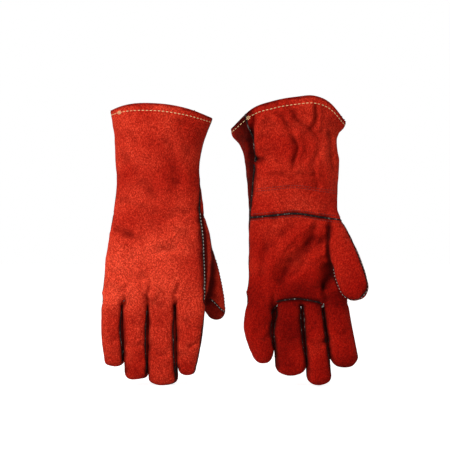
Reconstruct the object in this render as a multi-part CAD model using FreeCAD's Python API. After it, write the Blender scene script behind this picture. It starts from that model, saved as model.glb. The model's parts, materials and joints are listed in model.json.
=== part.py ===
"""A pair of lined split-leather welding gauntlets, hung by the cuffs with the fingers pointing down.

Both gloves hang upright in one frame: +X runs from the right-hand glove to the left-hand glove, -Y is the
side that faces a viewer, +Z is up. The right-hand glove shows its back to the viewer and the left-hand glove
its palm, so both thumbs are on their glove's +X side. Each glove is sewn from these pieces, one node each:

  cuff    back, front panel, canvas lining, side welts, hem stitches
  hand    back, palm, thumb wing, fleece lining, welts (sides, wrist, finger seam)
  thumb   back, front, welt
  finger  back, front, fourchettes (the side walls between fingers), welts      (index, middle, ring, little)

Hide panels that run across a flex line on the sewn glove are parted there, so that each digit and the cuff
can turn about its own hinge line. V-shaped gaps at the flex lines leave room for the whole travel.
"""

import FreeCAD
import Part

import math
import os

# Materials of the sewn layers, in mm.
LEATHER = 1.4
LINING = 1.6
LAYER_GAP = 0.2
WELT = 1.2
WELT_PROUD = 1.6
CLEARANCE = 0.1
THREAD_R = 0.45
STITCH_LENGTH = 3.2
STITCH_PITCH = 5.4
STITCH_LIFT = 1.4
HEM_PASSES = 3

# Heights above the longest fingertip.
WRIST_Z = 211.0
KNUCKLE_Z = 90.0
HEM_STITCH_DROP = 9.0
HEM_TURN = 14.0

# Travel that the V-shaped gaps leave room for, in degrees, and the gap at the hinge line itself.
FLEX = 70.0
EXTEND = 10.0
WRIST_BEND = 30.0
GAP_MARGIN = 1.5
HINGE_GAP = 0.8
KNUCKLE_GAP = 1.0
KNUCKLE_PALMWARD = 5.0
WRIST_GAP = 1.0

# Digits. Each tip is a dome whose rings stand at DOME_ANGLES, and DOME is its height in half widths.
FINGER_WELT_PROUD = 0.5
FINGER_HALF_DEPTH = 12.0
FINGER_TIP_DEPTH = 11.0
FINGER_CURL = 7.0
FOURCHETTE_BASE = 5.6
FOURCHETTE_TIP = 2.0
THUMB_HALF_DEPTH = 13.5
THUMB_TIP_DEPTH = 12.5
THUMB_ROOM = 1.0
THUMB_SPLIT = 0.53
THUMB_SPREAD = 30.0
DOME = 0.75
DOME_ANGLES = (30, 52, 70, 82)
DIGIT_BLUNTNESS = 0.62
SEAM_OVERRUN = 20.0

# Corners of a limb or digit, as shares of its half depth and of its width.
CORNER = 0.86
CORNER_LIMIT = 0.48

# How far a solid that is cut away, or cut from, runs past the end it has to clear.
OUTER_OVERRUN = 2.0
CAVITY_OVERRUN = 3.0
THUMB_CAVITY_OVERRUN = 4.0

# The smallest piece of material that counts, in cubic mm, and the fineness of the bounds, in mm.
SLIVER = 1.0
BOUNDS_FINENESS = 0.05

# Each glove: its palm side (+1 is +Y), its centre line, the arc of its hem, and its outline.
# hem: three points (x, z) that the hem arc passes through. sections: (z, left x, right x, half depth).
# fingers: (x at the knuckle, x at the tip, z of the tip, width at the knuckle, width at the tip).
# thumb: root point, tip point, width at the root and at the tip; y is measured towards the palm.
RIGHT = {
    "name": "right",
    "palm": 1,
    "x": -97.0,
    "hem": ((-57.0, 339.0), (0.0, 350.0), (68.0, 333.0)),
    "sections": (
        (362.0, -58.0, 73.0, 36.0),
        (335.0, -55.0, 67.5, 35.0),
        (305.0, -51.0, 58.5, 33.0),
        (275.0, -49.5, 54.0, 30.0),
        (240.0, -50.0, 55.0, 26.0),
        (211.0, -53.0, 60.0, 22.5),
        (150.0, -62.5, 63.0, 21.0),
        (84.0, -67.5, 60.5, 15.5),
    ),
    "fingers": {
        "index": (41.5, 38.0, 12.0, 32.8, 25.0),
        "middle": (7.3, 7.3, 0.0, 30.0, 31.0),
        "ring": (-24.8, -27.5, 6.0, 29.0, 26.6),
        "little": (-54.6, -54.6, 22.0, 24.6, 22.6),
    },
    "thumb": ((46.0, 4.0, 196.0), (71.5, 38.0, 82.0), 34.0, 24.0),
}
LEFT = {
    "name": "left",
    "palm": -1,
    "x": 76.0,
    "hem": ((-78.0, 319.0), (12.0, 358.0), (60.0, 325.0)),
    "sections": (
        (362.0, -86.0, 65.0, 37.0),
        (330.0, -78.0, 59.0, 36.0),
        (305.0, -69.0, 53.0, 33.0),
        (275.0, -62.0, 52.0, 30.0),
        (240.0, -58.0, 52.5, 26.0),
        (211.0, -57.0, 54.0, 22.5),
        (150.0, -57.0, 61.0, 21.0),
        (84.0, -61.0, 66.0, 15.5),
    ),
    "fingers": {
        "index": (49.7, 61.0, 21.0, 30.6, 28.0),
        "middle": (19.9, 28.8, 0.0, 23.6, 26.6),
        "ring": (-8.5, -5.2, 11.0, 28.0, 27.0),
        "little": (-43.0, -42.0, 27.0, 30.0, 27.0),
    },
    "thumb": ((44.0, 4.0, 205.0), (80.0, 38.0, 108.0), 38.0, 33.0),
}
FINGERS = ("index", "middle", "ring", "little")
FAR = 400.0


def vector(x, y, z):
    return FreeCAD.Vector(x, y, z)


def rounded_wire(x0, x1, half_depth, z):
    """A rectangle with large round corners in the plane at height z, from x0 to x1, eight edges."""
    r = half_depth * CORNER
    r = min(r, CORNER_LIMIT * (x1 - x0))
    d = half_depth
    corners = ((x1 - r, d - r, 0), (x0 + r, d - r, 90), (x0 + r, r - d, 180), (x1 - r, r - d, 270))
    arcs = []
    for cx, cy, start in corners:
        points = []
        for step in (0, 45, 90):
            angle = math.radians(start + step)
            points.append(vector(cx + r * math.cos(angle), cy + r * math.sin(angle), z))
        arcs.append(Part.Arc(*points).toShape())
    edges = []
    for arc, after in zip(arcs, arcs[1:] + arcs[:1]):
        edges.append(arc)
        edges.append(Part.makeLine(arc.Vertexes[-1].Point, after.Vertexes[0].Point))
    return Part.Wire(edges)


def box(x, y, z):
    """A box from three (low, high) pairs."""
    corner = vector(x[0], y[0], z[0])
    return Part.makeBox(x[1] - x[0], y[1] - y[0], z[1] - z[0], corner)


def prism(outline, x0, x1):
    """A closed (y, z) outline pushed along X from x0 to x1."""
    points = [vector(x0, y, z) for y, z in outline]
    face = Part.Face(Part.makePolygon(points + points[:1]))
    return face.extrude(vector(x1 - x0, 0, 0))


def largest(shape):
    """The biggest solid of a shape, without the offcuts."""
    return max(shape.Solids, key=lambda solid: solid.Volume)


def node_body(shape):
    """A node's solids as one shape, without slivers."""
    solids = [solid for solid in shape.Solids if solid.Volume > SLIVER]
    return solids[0] if len(solids) == 1 else Part.makeCompound(solids)


def write_all(nodes):
    """Writes each node to its STEP file, with the origin under the middle of the pair."""
    bounds = FreeCAD.BoundBox()
    for body in nodes.values():
        for point in body.tessellate(BOUNDS_FINENESS)[0]:
            bounds.add(point)
    origin = vector(bounds.Center.x, bounds.Center.y, bounds.ZMin)
    print("origin moved to", [round(value, 3) for value in origin])
    for node, body in nodes.items():
        body.translate(-origin)
        body.exportStep(f"parts/{node}.step")
        print(node, len(body.Solids), "solids,", round(body.Volume), "mm3")


# The limb: the one tapering tube that the cuff and the hand are cut from.


def limb(glove, offset):
    """The limb's solid, grown by offset on every side."""
    wires = [rounded_wire(left - offset, right + offset, depth + offset, z)
             for z, left, right, depth in glove["sections"]]
    return Part.makeLoft(wires, True, True)


def limb_size(glove, z):
    """(left x, right x, half depth) of the limb at height z, by straight steps between its sections."""
    rows = sorted(glove["sections"])
    for low, high in zip(rows, rows[1:]):
        if z <= high[0]:
            share = (z - low[0]) / (high[0] - low[0])
            return tuple(a + share * (b - a) for a, b in zip(low[1:], high[1:]))
    return rows[-1][1:]


def below_hem(glove, drop):
    """Everything under the hem arc, lowered by drop."""
    a, b, c = [vector(x, 0, z - drop) for x, z in glove["hem"]]
    arc = Part.Arc(a, b, c).toShape()
    left, right = vector(a.x - FAR, 0, a.z - FAR), vector(c.x + FAR, 0, c.z - FAR)
    low_left, low_right = vector(a.x - FAR, 0, -FAR), vector(c.x + FAR, 0, -FAR)
    sides = Part.makePolygon([c, right, low_right, low_left, left, a])
    face = Part.Face(Part.Wire([arc] + sides.Edges))
    face.translate(vector(0, -FAR / 2, 0))
    return face.extrude(vector(0, FAR, 0))


def hem_height(glove, x):
    """Height of the hem arc at x."""
    a, b, c = [vector(px, 0, pz) for px, pz in glove["hem"]]
    circle = Part.Circle(a, b, c)
    return circle.Center.z + math.sqrt(circle.Radius ** 2 - (x - circle.Center.x) ** 2)


def slope(angle):
    """Rise over FAR of a gap face that leaves room for half of angle."""
    return FAR * math.tan(math.radians(angle / 2 + GAP_MARGIN))


def wedge(hinge_y, z, toward, rise_back, rise_palm):
    """The (y, z) region on one side of a V-shaped gap; toward is +1 above the gap and -1 below it."""
    low_y, high_y = hinge_y - FAR, hinge_y + FAR
    far_z = z + toward * (FAR + max(rise_back, rise_palm))
    outline = ((low_y, z + toward * rise_back), (hinge_y, z), (high_y, z + toward * rise_palm),
               (high_y, far_z), (low_y, far_z))
    return prism(outline, -FAR, FAR)


def cuff_side(gap):
    """The region above the wrist's V-shaped gap."""
    return wedge(0, WRIST_Z + gap, 1, slope(WRIST_BEND), slope(WRIST_BEND))


def hand_side(palm, wrist_gap, knuckle_gap):
    """The region between the wrist's gap and the knuckles' gap."""
    under_wrist = wedge(0, WRIST_Z - wrist_gap, -1, slope(WRIST_BEND), slope(WRIST_BEND))
    rises = (slope(EXTEND), slope(FLEX))
    if palm < 0:
        rises = rises[::-1]
    over_knuckles = wedge(palm * KNUCKLE_PALMWARD, KNUCKLE_Z + knuckle_gap, 1, *rises)
    return under_wrist.common(over_knuckles)


def outline_point(glove, z, share):
    """A point on the limb's outline at height z and the direction along it; share 0 to 1 goes once round."""
    left, right, depth = limb_size(glove, z)
    r = depth * CORNER
    flat, upright, bend = right - left - 2 * r, 2 * (depth - r), math.pi * r / 2
    along = (share % 1.0) * 2 * (flat + upright + 2 * bend)
    x, y, heading = left + r, -depth, 0.0
    for length, turn in ((flat, 0), (bend, 1), (upright, 0), (bend, 1)) * 2:
        step = min(along, length)
        if turn:
            angle = step / r
            side = vector(-math.sin(heading), math.cos(heading), 0)
            cx, cy = x + r * side.x, y + r * side.y
            heading += angle
            x, y = cx + r * math.sin(heading), cy - r * math.cos(heading)
        else:
            x, y = x + step * math.cos(heading), y + step * math.sin(heading)
        along -= step
        if along <= 1e-9:
            break
    return vector(x, y, z), vector(math.cos(heading), math.sin(heading), 0)


def stitch(middle, direction):
    """One visible length of thread."""
    start = middle - direction * (STITCH_LENGTH / 2)
    return Part.makeCylinder(THREAD_R, STITCH_LENGTH, start, direction)


def hem_stitches(glove):
    """The row of stitches round the cuff, just under its hem, left out over the side welts."""
    left, right, depth = limb_size(glove, glove["hem"][1][1])
    count = round((2 * (right - left) + (math.pi - 4) * depth) / STITCH_PITCH)
    made = []
    for i in range(count):
        z = glove["hem"][1][1] - HEM_STITCH_DROP
        for _ in range(HEM_PASSES):
            point, direction = outline_point(glove, z, (i + 0.5) / count)
            z = hem_height(glove, point.x) - HEM_STITCH_DROP
        outward = vector(direction.y, -direction.x, 0)
        if abs(point.y) > STITCH_LENGTH:
            made.append(stitch(point + outward * (THREAD_R + STITCH_LIFT), direction))
    return Part.makeCompound(made)


def palm_half(palm, inset):
    """Everything on the palm side of the side seams."""
    low, high = sorted((palm * inset, palm * FAR))
    return box((-FAR, FAR), (low, high), (-FAR, FAR))


def cuff_parts(glove):
    """The five pieces of the gauntlet."""
    palm = glove["palm"]
    outer, inner = limb(glove, 0), limb(glove, -LEATHER)
    region = below_hem(glove, 0).common(cuff_side(WRIST_GAP))
    leather = outer.cut(inner).common(region)
    seam = WELT / 2 + CLEARANCE
    yield "cuff_back", leather.common(palm_half(-palm, seam))
    yield "cuff_front", leather.common(palm_half(palm, seam))
    layer = LEATHER + LAYER_GAP
    lining = limb(glove, -layer).cut(limb(glove, -layer - LINING))
    yield "cuff_lining", lining.common(below_hem(glove, HEM_TURN)).common(cuff_side(WRIST_GAP))
    strip = limb(glove, WELT_PROUD).cut(inner).common(box((-FAR, FAR), (-WELT / 2, WELT / 2), (-FAR, FAR)))
    yield "cuff_welts", strip.common(region).common(below_hem(glove, 3 * WELT))
    yield "cuff_hem_stitches", hem_stitches(glove)


def hand_parts(glove):
    """The six pieces between the wrist and the knuckles."""
    palm = glove["palm"]
    outer, inner = limb(glove, 0), limb(glove, -LEATHER)
    region = hand_side(palm, WRIST_GAP, KNUCKLE_GAP)
    seam = WELT / 2 + CLEARANCE
    wrist_end = WRIST_GAP + WELT + CLEARANCE
    knuckle_end = KNUCKLE_GAP + WELT + CLEARANCE
    thumb_hole, thumb_outside, grown_thumb = thumb_solids(glove)
    sweep = thumb_sweep(glove)
    leather = outer.cut(inner).cut([thumb_hole] + sweep)
    yield "hand_back", leather.common(region).common(palm_half(-palm, seam))
    palm_panel = leather.common(hand_side(palm, wrist_end, knuckle_end)).common(palm_half(palm, seam))
    yield "palm", largest(palm_panel)
    wing = thumb_outside.cut(thumb_hole).cut(limb(glove, CLEARANCE)).common(thumb_zone(glove, -1))
    yield "thumb_wing", largest(wing.common(hand_side(palm, 2 * wrist_end, KNUCKLE_GAP)))
    layer = LEATHER + LAYER_GAP
    lining = limb(glove, -layer).cut(limb(glove, -layer - LINING)).cut([thumb_hole] + sweep)
    yield "hand_lining", largest(lining.common(hand_side(palm, WRIST_GAP, knuckle_end)))
    proud = limb(glove, WELT_PROUD).cut(inner)
    sides = proud.common(region).common(box((-FAR, FAR), (-WELT / 2, WELT / 2), (-FAR, FAR)))
    sides = sides.cut([grown_thumb] + sweep)
    panel = palm_half(palm, 2 * WELT)
    wrist = proud.common(region.cut(hand_side(palm, WRIST_GAP + WELT, KNUCKLE_GAP))).common(panel)
    gap = region.cut(hand_side(palm, WRIST_GAP, KNUCKLE_GAP + WELT))
    x0, x1 = finger_seam_span(glove)
    fingers = proud.common(gap).common(panel).common(box((x0, x1), (-FAR, FAR), (-FAR, FAR)))
    yield "hand_welts", Part.makeCompound(sides.Solids + wrist.Solids + fingers.Solids)


def finger_seam_span(glove):
    """The stretch of the palm's lower edge that the middle and ring fingers are sewn to."""
    ring, middle = glove["fingers"]["ring"], glove["fingers"]["middle"]
    return ring[0] - ring[3] / 2, middle[0] + middle[3] / 2


# Digits, each built along +Z from its hinge line with its palm side on +Y, then put in place.


def digit(root, tip, depth_root, depth_tip, length, offset, start):
    """A tapering finger-shaped solid with a blunt round tip, grown by offset, open side at z = start."""
    reach = length + offset
    dome = DOME * tip
    sections = [(start, root, depth_root)]
    straight = reach - dome
    for share in (0.5, 1.0):
        z = straight * share
        sections.append((z, root + (tip - root) * share, depth_root + (depth_tip - depth_root) * share))
    for angle in DOME_ANGLES:
        lift = math.sin(math.radians(angle))
        shrink = math.cos(math.radians(angle)) ** DIGIT_BLUNTNESS
        sections.append((straight + dome * lift, tip * shrink, depth_tip * shrink))
    wires = [rounded_wire(-half - offset, half + offset, depth + offset, z) for z, half, depth in sections]
    return Part.makeLoft(wires, True, True)


def frame(origin, direction, palm):
    """The placement of a digit: +Z along it, +Y towards the palm."""
    along = vector(*direction).normalize()
    across = vector(0, palm, 0).cross(along).normalize()
    palmward = along.cross(across)
    return FreeCAD.Placement(FreeCAD.Matrix(
        across.x, palmward.x, along.x, origin[0],
        across.y, palmward.y, along.y, origin[1],
        across.z, palmward.z, along.z, origin[2],
        0, 0, 0, 1))


def seam_band(half_root, half_tip, length, x0, x1):
    """The wedge between two seams that run along a digit and close towards its tip."""
    a, b = half_root, half_tip
    widen = (b - a) / length
    start, end = -SEAM_OVERRUN, length + SEAM_OVERRUN
    return prism([(-(a + widen * start), start), (a + widen * start, start),
                  (a + widen * end, end), (-(a + widen * end), end)], x0, x1)


def finger_parts(glove, name):
    """Back, front, fourchettes and welts of one finger, in the finger's own frame, and its placement."""
    x_root, x_tip, z_tip, width_root, width_tip = glove["fingers"][name]
    length = math.hypot(x_tip - x_root, z_tip - KNUCKLE_Z)
    curl = math.radians(FINGER_CURL)
    direction = ((x_tip - x_root) * math.cos(curl), glove["palm"] * length * math.sin(curl),
                 (z_tip - KNUCKLE_Z) * math.cos(curl))
    length = length / math.cos(curl)
    sizes = (width_root / 2, width_tip / 2, FINGER_HALF_DEPTH, FINGER_TIP_DEPTH, length)
    outer = digit(*sizes, 0, -OUTER_OVERRUN)
    cavity = digit(*sizes, -LEATHER, -CAVITY_OVERRUN)
    proud = digit(*sizes, FINGER_WELT_PROUD, -OUTER_OVERRUN)
    beyond_hinge = wedge(KNUCKLE_PALMWARD, HINGE_GAP, 1, slope(EXTEND), slope(FLEX + 2 * FINGER_CURL))
    shell = outer.cut(cavity).common(beyond_hinge)
    ring = proud.cut(cavity).common(beyond_hinge)
    # The thumb's side is local -X on the right glove and local +X on the left one.
    thumbward = -glove["palm"]
    outer_side = {"index": thumbward, "little": -thumbward}.get(name, 0)
    seam, half = WELT / 2 + CLEARANCE, WELT / 2
    walls, openings, welts = [], [], []
    for side in (-1, 1):
        x0, x1 = sorted((0.0, side * FAR))
        if side == outer_side:
            openings.append(seam_band(seam, seam, length, x0, x1))
            welts.append(ring.common(seam_band(half, half, length, x0, x1)))
            continue
        a, b = FOURCHETTE_BASE, FOURCHETTE_TIP
        walls.append(shell.common(seam_band(a - seam, b - seam, length, x0, x1)))
        openings.append(seam_band(a + seam, b + seam, length, x0, x1))
        both = ring.common(seam_band(a + half, b + half, length, x0, x1))
        welts.append(both.cut(seam_band(a - half, b - half, length, x0, x1)))
    panels = shell
    for opening in openings:
        panels = panels.cut(opening)
    # A finger's strips meet over its tip, so each side's welt stops short of the middle.
    parting = box((-CLEARANCE, CLEARANCE), (-FAR, FAR), (-FAR, FAR))
    walls = Part.makeCompound([s for w in walls for s in w.cut(parting).Solids])
    welts = Part.makeCompound([s for w in welts for s in w.cut(parting).Solids])
    parts = {
        "back": panels.common(box((-FAR, FAR), (-FAR, 0), (-FAR, FAR))),
        "front": panels.common(box((-FAR, FAR), (0, FAR), (-FAR, FAR))),
        "fourchettes": walls,
        "welts": welts,
    }
    hinge = vector(x_root, glove["palm"] * KNUCKLE_PALMWARD, KNUCKLE_Z)
    place = frame(hinge, direction, glove["palm"])
    return parts, place.multiply(FreeCAD.Placement(vector(0, -KNUCKLE_PALMWARD, 0), FreeCAD.Rotation()))


def thumb_line(glove):
    """Root point of the thumb in the glove's frame, and the line from there to its tip."""
    root, tip = [vector(x, glove["palm"] * y, z) for x, y, z in glove["thumb"][:2]]
    return root, tip - root


def thumb_sizes(glove):
    """Half widths and half depths at the root and at the tip, and the length, as digit() takes them."""
    length = thumb_line(glove)[1].Length
    half_root, half_tip = glove["thumb"][2] / 2, glove["thumb"][3] / 2
    return half_root, half_tip, THUMB_HALF_DEPTH, THUMB_TIP_DEPTH, length


def placed(shape, place):
    """A copy of shape, moved by place."""
    copy = shape.copy()
    copy.Placement = place.multiply(copy.Placement)
    return copy


def thumb_solids(glove):
    """The thumb's cavity, its outer solid and that solid with clearance, in the glove's frame."""
    root, direction = thumb_line(glove)
    place = frame(root, direction, glove["palm"])
    sizes = thumb_sizes(glove)
    cavity = digit(*sizes, -LEATHER, -THUMB_CAVITY_OVERRUN)
    outer, grown = digit(*sizes, 0, 0), digit(*sizes, CLEARANCE, 0)
    return [placed(shape, place) for shape in (cavity, outer, grown)]


def thumb_sweep(glove):
    """The room the free length of the thumb needs over its travel, as a list of solids."""
    root, direction = thumb_line(glove)
    place = frame(root, direction, glove["palm"])
    roomy = digit(*thumb_sizes(glove), WELT_PROUD + THUMB_ROOM, 0)
    outer = placed(roomy, place).common(thumb_zone(glove, 1))
    hinge = root + direction * THUMB_SPLIT
    solids = []
    outward = place.Rotation.multVec(vector(0, -glove["palm"], 0))
    for angle in (0, THUMB_SPREAD / 2, THUMB_SPREAD):
        turned = outer.copy()
        turned.rotate(hinge, outward, angle)
        solids.append(turned)
    return solids


def thumb_zone(glove, end):
    """The part of the thumb's length on one side of its hinge: end -1 is towards the hand, +1 the tip."""
    root, direction = thumb_line(glove)
    back_off = slope(THUMB_SPREAD)
    z = direction.Length * THUMB_SPLIT + end * HINGE_GAP
    # The thumb swings in the plane of the palm, so its gap opens towards both its edges.
    near, far = z + end * back_off, z + end * (FAR + back_off)
    corners = ((-FAR, near), (0, z), (FAR, near), (FAR, far), (-FAR, far))
    points = [vector(x, -FAR, height) for x, height in corners]
    face = Part.Face(Part.makePolygon(points + points[:1]))
    return placed(face.extrude(vector(0, 2 * FAR, 0)), frame(root, direction, glove["palm"]))


def thumb_parts(glove):
    """Back, front and welt of the free length of the thumb, in the glove's frame."""
    root, direction = thumb_line(glove)
    place = frame(root, direction, glove["palm"])
    sizes = thumb_sizes(glove)
    cavity, outer, _ = thumb_solids(glove)
    zone = thumb_zone(glove, 1)
    shell = outer.cut(cavity).common(zone)
    seam, half = WELT / 2 + CLEARANCE, WELT / 2
    panels = shell.cut(placed(box((-FAR, FAR), (-seam, seam), (-FAR, FAR)), place))
    back = placed(box((-FAR, FAR), (-FAR, 0), (-FAR, FAR)), place)
    front = placed(box((-FAR, FAR), (0, FAR), (-FAR, FAR)), place)
    ring = placed(digit(*sizes, WELT_PROUD, 0), place).cut(cavity).common(zone)
    yield "back", panels.common(back)
    yield "front", panels.common(front)
    yield "welt", ring.common(placed(box((-FAR, FAR), (-half, half), (-FAR, FAR)), place))


def build(glove):
    """Every node of one glove, moved to the glove's place in the pair."""
    shift = FreeCAD.Placement(vector(glove["x"], 0, 0), FreeCAD.Rotation())
    side = glove["name"]
    nodes = {}
    for name, shape in list(cuff_parts(glove)) + list(hand_parts(glove)):
        nodes[f"{side}_{name}"] = placed(shape, shift)
    for name, shape in thumb_parts(glove):
        nodes[f"{side}_thumb_{name}"] = placed(shape, shift)
    for finger in FINGERS:
        parts, place = finger_parts(glove, finger)
        for name, shape in parts.items():
            nodes[f"{side}_{finger}_{name}"] = placed(placed(shape, place), shift)
    return {name: node_body(shape) for name, shape in nodes.items()}


os.makedirs("parts", exist_ok=True)
write_all({**build(RIGHT), **build(LEFT)})
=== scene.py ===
"""A pair of lined split-leather welding gauntlets, hung by the cuffs: the soft leather over the CAD frame.

Each glove is grown as one closed skin, in a flat "pattern" where the fingers stand straight and apart, and is then
folded into its real outline. The skin is cut into the leather panels, and welts and stitches follow the cuts.
Sizes are in mm in a glove's own frame: x across, p towards its palm, z up from the longest fingertip.
"""

import json
import math

import bmesh
import bpy
import numpy as np
from mathutils import Matrix, Vector, noise


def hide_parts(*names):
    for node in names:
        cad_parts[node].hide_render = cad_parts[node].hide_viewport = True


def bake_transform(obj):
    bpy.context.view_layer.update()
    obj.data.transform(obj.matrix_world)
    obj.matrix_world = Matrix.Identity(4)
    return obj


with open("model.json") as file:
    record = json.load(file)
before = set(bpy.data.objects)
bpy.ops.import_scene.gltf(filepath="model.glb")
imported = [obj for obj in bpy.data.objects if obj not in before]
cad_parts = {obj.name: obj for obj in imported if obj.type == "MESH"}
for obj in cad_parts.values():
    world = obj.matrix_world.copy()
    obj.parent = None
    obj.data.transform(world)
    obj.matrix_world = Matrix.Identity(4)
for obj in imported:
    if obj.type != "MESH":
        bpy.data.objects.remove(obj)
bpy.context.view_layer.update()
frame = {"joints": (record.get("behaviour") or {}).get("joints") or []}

# ---------------------------------------------------------------- sizes

GRID = 1.7
LEATHER = 1.4
LINING_GAP = 0.3
LINING = 1.4
WRIST_Z = 211.0
KNUCKLE_Z = 90.0
CROTCH_Z = 99.0
FINGER_GAP = 7.0
CURL = math.tan(math.radians(7.0))
FOURCHETTE = 5.6
FINGER_EASE = 0.5
TOUCHING = 2.2
SKIN_GAP = 0.2
STAGGER = 1.3
THUMB_CUT = 0.40
THUMB_SLANT = 0.017
WRIST_BEND_ZONE = (238.0, 186.0)
FINGER_BEND_ZONE = (100.0, 74.0)
# The thumb's underside is sewn to the palm for most of its length, so its bend line leans away from the palm.
THUMB_BEND_ZONE = (0.58, 0.9)
THUMB_BEND_LEAN = 1.5
HEM_FLAT = 340.0
# The seam across the palm above the two middle fingers: share of the way across, and z.
PALM_SEAM = ((0.0, 104.0), (0.45, 106.5), (0.8, 104.5), (1.0, 102.0))

# Per glove: palm direction, x of its wrist hinge, hem (x, z), outline (z, left x, right x, half depth),
# little-side seam (z, p), fingers (pattern half depth, tip z, then (z, left x, right x) rows from root to tip),
# thumb (root, tip, half widths at root and tip, half depths), wrist seam (x, z).
GLOVES = {
    "right": {
        "palm": 1,
        "bartack": -44,
        "tip_dome": 0.8,
        "tip_power": 2.8,
        "thumb_lean": (-7.0, 0.0, -26.0),
        "thumb_middle": -7.0,
        "finger_welt": (0.8, 0.7),
        "wrist_x": 3.5,
        "hem": ((-62, 337), (-40, 345), (0, 347.5), (40, 341), (70, 330)),
        "outline": (
            (362, -61, 74, 37), (332, -55, 68.0, 36), (306, -51.4, 59.5, 34), (278, -49.6, 54.0, 31),
            (246, -50.0, 56.0, 27), (226, -51.4, 57.5, 24), (206, -54.4, 61, 22), (187, -57.6, 65, 21),
            (160, -61.6, 66.5, 20.5), (127, -65.0, 64, 19), (100, -66.5, 60.3, 16.5), (80, -67, 60, 15),
        ),
        "seam": ((350, 2), (240, 0), (90, 0)),
        "index_seam": ((350, 0), (250, -3), (215, -11), (130, -11), (95, -4)),
        "twist": 5.0,
        "fingers": {
            "index": (12.8, 10, ((99, 24.8, 61.0), (60, 26.4, 57.4), (22, 26.2, 50.6))),
            "middle": (13.2, -2, ((99, -8.8, 24.2), (60, -8.6, 25.8), (14, -9.4, 25.6))),
            "ring": (13.2, 5, ((99, -40.4, -9.4), (60, -39.8, -9.2), (20, -39.4, -9.8))),
            "little": (12.0, 21.5, ((99, -67.8, -41.0), (60, -68.2, -40.2), (34, -65.6, -39.2))),
        },
        "thumb": ((46.0, 2, 200), (76.5, 36, 80), ((0, 11), (0.35, 15.8), (0.7, 16.4), (0.88, 13), (1, 9)), 13, 12.5),
        "wrist_seam": ((-60, 211), (0, 214), (62, 209)),
    },
    "left": {
        "palm": -1,
        "bartack": -59,
        "tip_dome": 1.0,
        "tip_power": 2.2,
        "thumb_lean": (0.0, 5.0, 0.0),
        "thumb_middle": 0.0,
        "finger_welt": (0.4, 0.3),
        "wrist_x": -1.5,
        "hem": ((-80, 317), (-56, 340), (-28, 350.5), (0, 355.5), (22, 356.8), (40, 349.5), (62, 325)),
        "outline": (
            (362, -82, 64, 38), (330, -78.5, 60.0, 37), (311, -71.4, 51.8, 35), (296, -66.6, 50.4, 33.5),
            (280, -63.4, 53.4, 31), (247, -59.2, 52.4, 27), (221, -58.4, 52.4, 23.5), (201, -58.2, 54.0, 21.5),
            (182, -58, 56, 21), (150, -58, 60, 20.5), (127, -59, 63, 19), (100, -61, 65, 16.5), (80, -62, 68, 15),
        ),
        "index_seam": ((350, 0), (90, 0)),
        "twist": -2.0,
        "seam": ((350, 27), (318, 25), (280, 20), (247, 13), (205, 4), (90, 0)),
        "fingers": {
            "index": (13.2, 20, ((99, 32.0, 65.4), (60, 38.0, 72.4), (34, 42.6, 77.6))),
            "middle": (13.2, -0.5, ((99, 6.8, 31.2), (60, 10.0, 37.6), (14, 12.6, 43.6))),
            "ring": (13.2, 11, ((99, -24.8, 6.0), (60, -28.8, 9.2), (24, -25.4, 13.6))),
            "little": (12.6, 26, ((99, -61.6, -25.6), (70, -64.6, -29.4), (38, -55.5, -25.4))),
        },
        "thumb": ((44.5, 4, 207), (76.5, 36, 107), ((0, 8), (0.3, 14.8), (0.6, 18.9), (1, 16.5)), 13.5, 13),
        "wrist_seam": ((-57, 207), (-30, 209.5), (0, 212), (28, 208), (56, 204)),
    },
}
FINGERS = ("index", "middle", "ring", "little")


# ---------------------------------------------------------------- numbers

def smooth(t):
    """0 below 0, 1 above 1, and an easy curve between."""
    t = np.clip(t, 0, 1)
    return t * t * (3 - 2 * t)


def curve(rows, at, column=1):
    """A smooth curve through (position, value, ...) rows, read at the given positions."""
    rows = sorted(rows)
    x = np.array([row[0] for row in rows], float)
    y = np.array([row[column] for row in rows], float)
    slope = np.gradient(y, x)
    at = np.clip(at, x[0], x[-1])
    i = np.clip(np.searchsorted(x, at) - 1, 0, len(x) - 2)
    width = x[i + 1] - x[i]
    t = (at - x[i]) / width
    a, b = y[i], y[i + 1]
    return ((2 * t ** 3 - 3 * t ** 2 + 1) * a + (t ** 3 - 2 * t ** 2 + t) * width * slope[i]
            + (3 * t ** 2 - 2 * t ** 3) * b + (t ** 3 - t ** 2) * width * slope[i + 1])


def soft_min(a, b, radius):
    blend = np.clip(radius - np.abs(a - b), 0, None) / radius
    return np.minimum(a, b) - blend ** 2 * radius / 4


def super_radius(*terms, power=2.4):
    """Length of a vector in a rounded-box sense."""
    total = 0
    for term in terms:
        total = total + np.abs(term) ** power
    return total ** (1 / power)


# ---------------------------------------------------------------- one glove's pattern

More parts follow.
